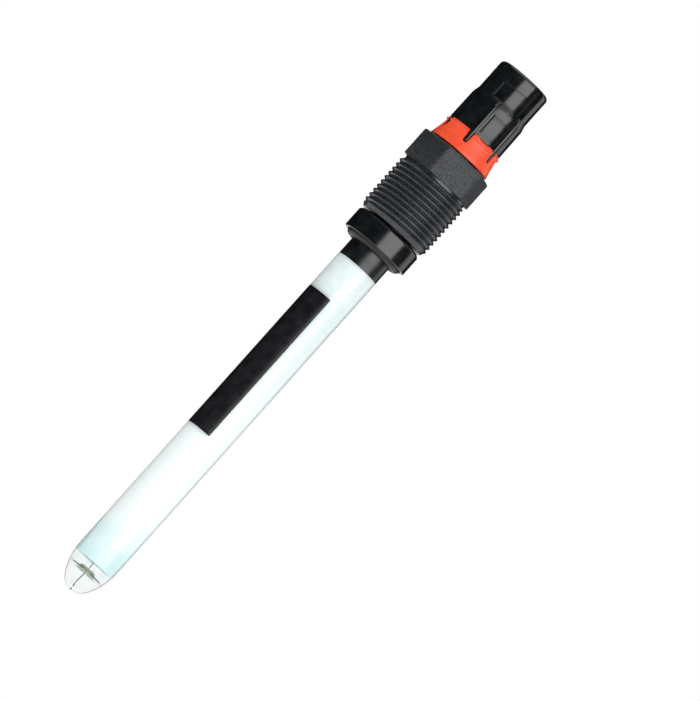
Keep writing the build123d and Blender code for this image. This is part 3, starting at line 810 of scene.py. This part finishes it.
# %% Turn the collar
collar_radius = reach("thrust_collar")
collar_high = high("thrust_collar")
seal_room = 8.56
seal_step = 1.57
flange_room = 7.28
flange_step = 2.81
collar_outline = rounded([
    (seal_room, 0, 0.1), (collar_radius, 0, 0.3), (collar_radius, collar_high - 0.95, 0.45),
    (collar_radius - 0.6, collar_high - 0.33, 0.6), (collar_radius - 2.1, collar_high, 1.0),
    (gland_bore, collar_high, 0.2), (gland_bore, flange_step, 0), (flange_room, flange_step, 0),
    (flange_room, seal_step, 0), (seal_room, seal_step, 0),
])
collar = make_piece("thrust_collar_moulding", *lathe(collar_outline, FINE_TURN_STEPS), gloss_black)
print("collar", len(collar.data.polygons), "faces")

# %% [markdown]
# ## Softened edges on the plug head and the ring
# The plug head and the orange ring have their true shape in the solids, but the solids' edges are
# sharp, and no mould gives a sharp edge. A copy of each solid is merged, its flat faces are joined,
# and a narrow bevel runs along every sharp edge. That line of light is what the eye takes for real.

# %% Soften copies of two solids
FLAT_ANGLE = math.radians(2)


def soften(piece, width, sharp=38):
    """Bevels a piece's sharp edges to this many millimetres."""
    bevel = piece.modifiers.new("soften", "BEVEL")
    bevel.width = width * MM
    bevel.segments = 2
    bevel.limit_method = "ANGLE"
    bevel.angle_limit = math.radians(sharp)
    bevel.use_clamp_overlap = True
    settle(piece)
    clean(piece)


def softened_copy(node, name, width, finish):
    """A copy of a solid's mesh with this narrow bevel, in millimetres, on its sharp edges."""
    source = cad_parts[node].data
    points = [v.co / MM for v in source.vertices]
    piece = make_piece(name, points, [tuple(f.vertices) for f in source.polygons], finish)
    work = bmesh.new()
    work.from_mesh(piece.data)
    bmesh.ops.dissolve_limit(work, angle_limit=FLAT_ANGLE, verts=work.verts, edges=work.edges)
    work.to_mesh(piece.data)
    work.free()
    soften(piece, width)
    return piece


plug = softened_copy("plug_housing", "plug_head_moulding", 0.11, gloss_black)
ring = softened_copy("coding_ring", "orange_ring_moulding", 0.08, ring_orange)
print("plug", len(plug.data.polygons), "faces, ring", len(ring.data.polygons), "faces")

# %% [markdown]
# ## Finishes for the pieces that keep their solids
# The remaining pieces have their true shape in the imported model, so they keep it and only change
# their material. Each solid's own slots are given the finish of the real piece.

# %% Give the solids their finishes
finishes = {
    "inner_stem": glass, "seal_foot": seal_glass, "ceramic_junction": ceramic, "print_panel": ink,
    "platinum_lead": silver, "reference_wire": silver,
    "neck_sleeve": neck_black, "neck_potting": resin, "o_ring": rubber, "coil_former": former_plastic,
    "induction_coil": copper, "ferrite_disc": ferrite, "circuit_board": laminate,
    "processor_chip": chip_epoxy, "amplifier_chip": chip_epoxy, "board_capacitors": titanate,
}
for node, finish in finishes.items():
    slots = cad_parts[node].data.materials
    slots.clear()
    slots.append(finish)
print("finished", len(finishes), "solids")

# %% [markdown]
# ## Which body each piece rides on
# The gland and the collar turn on the neck, so their pieces ride on their own bodies. Each row also
# names the solids that its piece stands for, which are hidden, and the material slot of the record
# that it follows, which nothing here uses.

# %% Ride and hide the solids that are replaced
pieces = [
    (shaft_glass, "sensor", "clear_glass", ["tip_dome", "shaft_tube"]),
    (gel, "sensor", "electrolyte_gel", ["reference_gel"]),
    (stopper, "sensor", "silicone", ["tube_stopper"]),
    (wire, "sensor", "platinum", ["platinum_wire"]),
    (gland, "gland", "black_gland_plastic", ["screw_gland"]),
    (collar, "collar", "gloss_black_plastic", ["thrust_collar"]),
    (plug, "sensor", "gloss_black_plastic", ["plug_housing"]),
    (ring, "sensor", "orange_plastic", ["coding_ring"]),
]
for piece, body, slot, nodes in pieces:
    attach(piece, body)
    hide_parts(*nodes)
print("placed", len(pieces), "new pieces")

# %% [markdown]
# ## The studio
# The sensor hangs in a white room, tip down, as its gland would hold it. The world is plain white to
# the camera, glass and gloss, and a pale sky to everything else, and the floor is white paper with a
# faint glow. The light on the object comes from a large soft box at the front right, whose straight
# edges draw the long highlights on the black mouldings, from a weak fill at the left and from the
# sky. Dark cards round the sensor keep the rest of the gloss black, as a photographer would with a
# glossy black product. The camera doesn't see them, and they cast no shadow.

# %% Floor, sky, cards and lamps
WHITE = (1, 1, 1, 1)


def white_for_eye_and_gloss(tree, shaded):
    """A shader that is plain white to camera, gloss and glass rays, and shaded otherwise."""
    path = add_node(tree, "ShaderNodeLightPath").outputs
    seen = path["Is Camera Ray"]
    for kind in ("Is Glossy Ray", "Is Transmission Ray"):
        either = {0: seen, 1: path[kind]}
        seen = add_node(tree, "ShaderNodeMath", {"operation": "MAXIMUM"}, either).outputs[0]
    white = add_node(tree, "ShaderNodeEmission", {"Color": WHITE, "Strength": 1.0}).outputs[0]
    return add_node(tree, "ShaderNodeMixShader", None, {0: seen, 1: shaded, 2: white}).outputs[0]


def pale_floor():
    """A white floor that takes the object's shadow: matt paper with a faint glow of its own."""
    settings = {"Base Color": linear("#f2f2f2"), "Roughness": 0.9}
    material, tree, shader = start_material("seamless_paper", settings)
    glow = add_node(tree, "ShaderNodeEmission", {"Color": WHITE, "Strength": 0.35}).outputs[0]
    both = add_node(tree, "ShaderNodeAddShader", None, {0: shader.outputs[0], 1: glow}).outputs[0]
    tree.links.new(both, tree.nodes["Material Output"].inputs["Surface"])
    return material


def black_card():
    """Matt black flock, which takes the light out of a reflection."""
    settings = {"Roughness": 1.0, "Specular IOR Level": 0.0}
    material, tree, shader = start_material("black_flock", settings)
    tint(tree, shader, grain(tree, 3.0), "#050505", "#080808")
    return material


def sweep_sheet(name, radius, first, last, foot, top, finish, steps=48):
    """A part of an upright cylinder round the object, from one bearing to another, in metres.

    A bearing is 0 towards the camera and grows towards its right."""
    points = []
    for k in range(steps + 1):
        turn = math.radians(first + (last - first) * k / steps - 90)
        x, y = radius * math.cos(turn) / MM, radius * math.sin(turn) / MM
        points += [(x, y, foot / MM), (x, y, top / MM)]
    faces = [(2 * k, 2 * k + 2, 2 * k + 3, 2 * k + 1) for k in range(steps)]
    return make_piece(name, points, faces, finish)


floor_height = -0.9
floor_reach = 9
floor_corners = [(x * floor_reach / MM, y * floor_reach / MM, floor_height / MM)
                 for x, y in ((-1, -1), (1, -1), (1, 1), (-1, 1))]
floor = make_piece("studio_floor", floor_corners, [(0, 1, 2, 3)], pale_floor())
flock = black_card()
card_radius = 1.5
card_foot = -0.5
card_top = 1.6
cards = [
    sweep_sheet(name, card_radius, first, last, card_foot, card_top, flock)
    for name, first, last in (("left_card", -176, -3), ("right_card", 61, 103), ("back_card", 132, 174))
]
for card in cards:
    card.visible_camera = False
    card.visible_diffuse = False
    card.visible_transmission = False
    card.visible_shadow = False

world = bpy.data.worlds.new("pale_sky")
bpy.context.scene.world = world
world.use_nodes = True
sky = world.node_tree
dim = add_node(sky, "ShaderNodeBackground", {"Color": WHITE, "Strength": 0.62}).outputs[0]
sky_mix = white_for_eye_and_gloss(sky, dim)
sky.links.new(sky_mix, sky.nodes["World Output"].inputs["Surface"])


def soft_box(name, bearing, distance, height, width, tall, radiance):
    """A rectangular lamp that faces the sensor, of this radiance, in metres."""
    lamp = bpy.data.lights.new(name, "AREA")
    lamp.shape = "RECTANGLE"
    lamp.size = width
    lamp.size_y = tall
    lamp.energy = radiance * math.pi * width * tall
    holder = bpy.data.objects.new(name, lamp)
    bpy.context.scene.collection.objects.link(holder)
    turn = math.radians(bearing - 90)
    holder.location = (distance * math.cos(turn), distance * math.sin(turn), height)
    aim = Vector((0, 0, 0)) - holder.location
    holder.rotation_euler = aim.to_track_quat("-Z", "Y").to_euler()
    holder.visible_camera = False
    return holder


soft_box("key_box", bearing=29, distance=1.2, height=0.1, width=1.3, tall=1.0, radiance=2.0)
fill = soft_box("fill_box", bearing=-62, distance=1.2, height=0.1, width=1.2, tall=1.2, radiance=0.7)
fill.visible_glossy = False

# %% [markdown]
# ## The camera
# The picture was taken with a long lens from a little below, and was turned, so that the sensor
# leans to the right. A far camera, aimed up at the middle of the sensor by about five degrees and
# rolled about its own line of sight, gives the same lean and the same slight view from below.

# %% Camera
DISTANCE = 4.0
CAMERA_HEIGHT = -0.3709
LENS = 837.0
AIM_ACROSS = 12.16
AIM_HEIGHT = -22.5
ROLL = 41.79

camera = bpy.data.objects.new("camera", bpy.data.cameras.new("camera"))
bpy.context.scene.collection.objects.link(camera)
camera.data.sensor_width = 36
camera.data.lens = LENS
camera.data.clip_start = 0.05
camera.data.clip_end = 50
camera.location = (0, -DISTANCE, CAMERA_HEIGHT)
aim = Vector((AIM_ACROSS * MM, 0, AIM_HEIGHT * MM)) - camera.location
facing = aim.to_track_quat("-Z", "Y").to_matrix().to_4x4()
camera.rotation_euler = (facing @ Matrix.Rotation(math.radians(ROLL), 4, "Z")).to_euler()
bpy.context.scene.camera = camera
bpy.context.scene.view_settings.view_transform = "Standard"
print("camera at", [round(c, 3) for c in camera.location])
